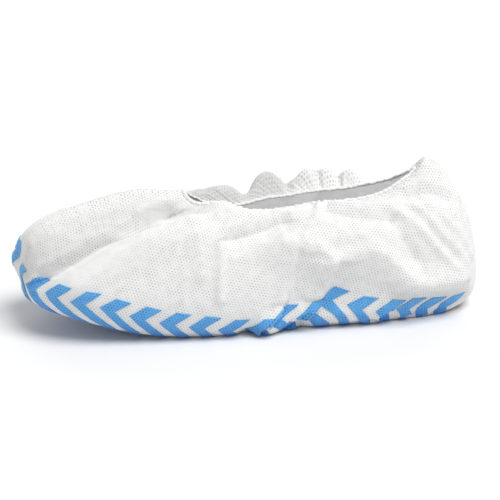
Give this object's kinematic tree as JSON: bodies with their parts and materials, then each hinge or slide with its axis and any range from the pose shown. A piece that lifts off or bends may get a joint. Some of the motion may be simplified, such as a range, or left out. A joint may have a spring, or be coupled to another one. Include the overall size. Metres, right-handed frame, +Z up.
{
  "type": "disposable shoe cover",
  "caption": "Disposable non-skid shoe cover: a hollow white nonwoven shell with a gathered elastic mouth, welded toe and heel seams and printed blue chevrons round the sole edge.",
  "frame": {"origin": "middle of the bounding box, at the floor that the sole stands on", "axes": "+X from toe to heel, +Y to the far side, +Z up"},
  "size_m": [0.3358, 0.1156, 0.1114],
  "materials": {
    "nonwoven_white": "point-bonded spunbond nonwoven, matt, slightly see-through",
    "elastic_hem": "crinkled nonwoven hem over elastic thread",
    "welded_seam": "heat-pressed nonwoven, slightly glossy",
    "tread_print": "thin printed anti-slip coating, matt"
  },
  "bodies": {
    "root": {"cover_body": "nonwoven_white", "elastic_hem": "elastic_hem", "toe_seam": "welded_seam", "heel_seam": "welded_seam", "chevron_near_01": "tread_print", "chevron_near_02": "tread_print", "chevron_near_03": "tread_print", "chevron_near_04": "tread_print", "chevron_near_05": "tread_print", "chevron_near_06": "tread_print", "chevron_near_07": "tread_print", "chevron_near_08": "tread_print", "chevron_near_09": "tread_print", "chevron_near_10": "tread_print", "chevron_near_11": "tread_print", "chevron_near_12": "tread_print", "chevron_near_13": "tread_print", "chevron_near_14": "tread_print", "chevron_near_15": "tread_print", "chevron_near_16": "tread_print", "chevron_near_17": "tread_print", "chevron_near_18": "tread_print", "chevron_far_01": "tread_print", "chevron_far_02": "tread_print", "chevron_far_03": "tread_print", "chevron_far_04": "tread_print", "chevron_far_05": "tread_print", "chevron_far_06": "tread_print", "chevron_far_07": "tread_print", "chevron_far_08": "tread_print", "chevron_far_09": "tread_print", "chevron_far_10": "tread_print", "chevron_far_11": "tread_print", "chevron_far_12": "tread_print", "chevron_far_13": "tread_print", "chevron_far_14": "tread_print", "chevron_far_15": "tread_print", "chevron_far_16": "tread_print", "chevron_far_17": "tread_print", "chevron_far_18": "tread_print"}
  },
  "joints": []
}
